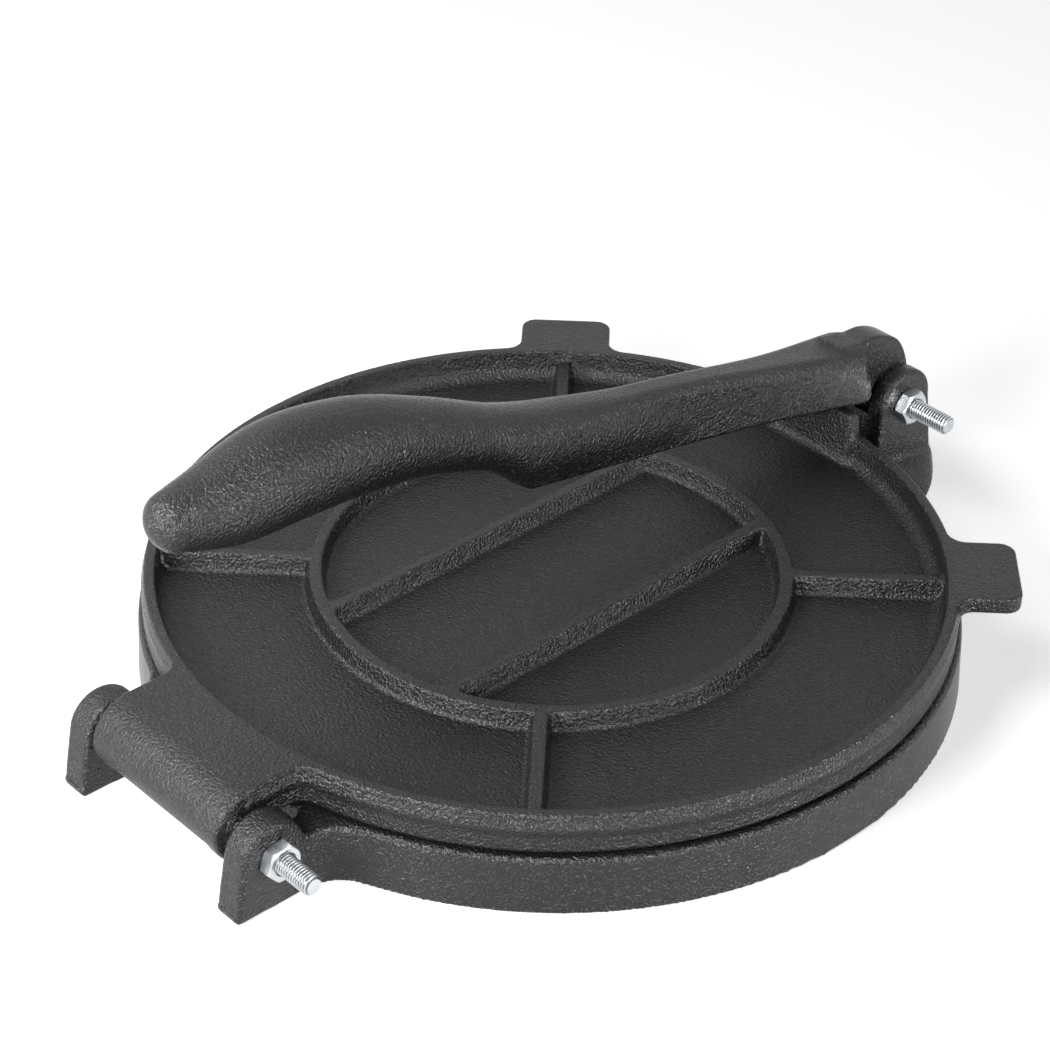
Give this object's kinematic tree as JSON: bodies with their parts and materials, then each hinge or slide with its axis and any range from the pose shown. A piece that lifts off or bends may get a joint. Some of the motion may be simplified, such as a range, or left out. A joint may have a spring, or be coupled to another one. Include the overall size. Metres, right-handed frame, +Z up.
{
  "type": "tortilla press",
  "caption": "Cast iron press with a ribbed round upper plate hinged to a round base, closed by a long curved hand lever pinned opposite the hinge, for flattening dough into tortillas.",
  "frame": {"origin": "on the table, at the middle of the press's outline", "axes": "+Z up, +Y from the plate hinge to the lever pivot, +X along both bolts towards their nuts"},
  "size_m": [0.313, 0.399, 0.1491],
  "materials": {
    "seasoned_iron": "sand-cast, black oil-seasoned, satin",
    "zinc_plate": "bright zinc plated steel"
  },
  "bodies": {
    "base": {"base_plate": "seasoned_iron", "hinge_bolt": "zinc_plate", "lever_bolt": "zinc_plate", "hex_nuts": "zinc_plate"},
    "upper": {"upper_plate": "seasoned_iron"},
    "press_lever": {"lever": "seasoned_iron"}
  },
  "joints": [
    {"name": "lever_pivot", "type": "hinge", "parent": "base", "child": "press_lever", "pos_m": [0, 0.1744, 0.038], "axis": [-1, 0, 0], "range_deg": [0, 165]},
    {"name": "plate_hinge", "type": "hinge", "parent": "base", "child": "upper", "pos_m": [0, -0.182, 0.0215], "axis": [1, 0, 0], "range_deg": [0, 16.5]}
  ],
  "couplings": [
    {"joint": "plate_hinge", "follows": "lever_pivot", "ratio": 0.1}
  ]
}
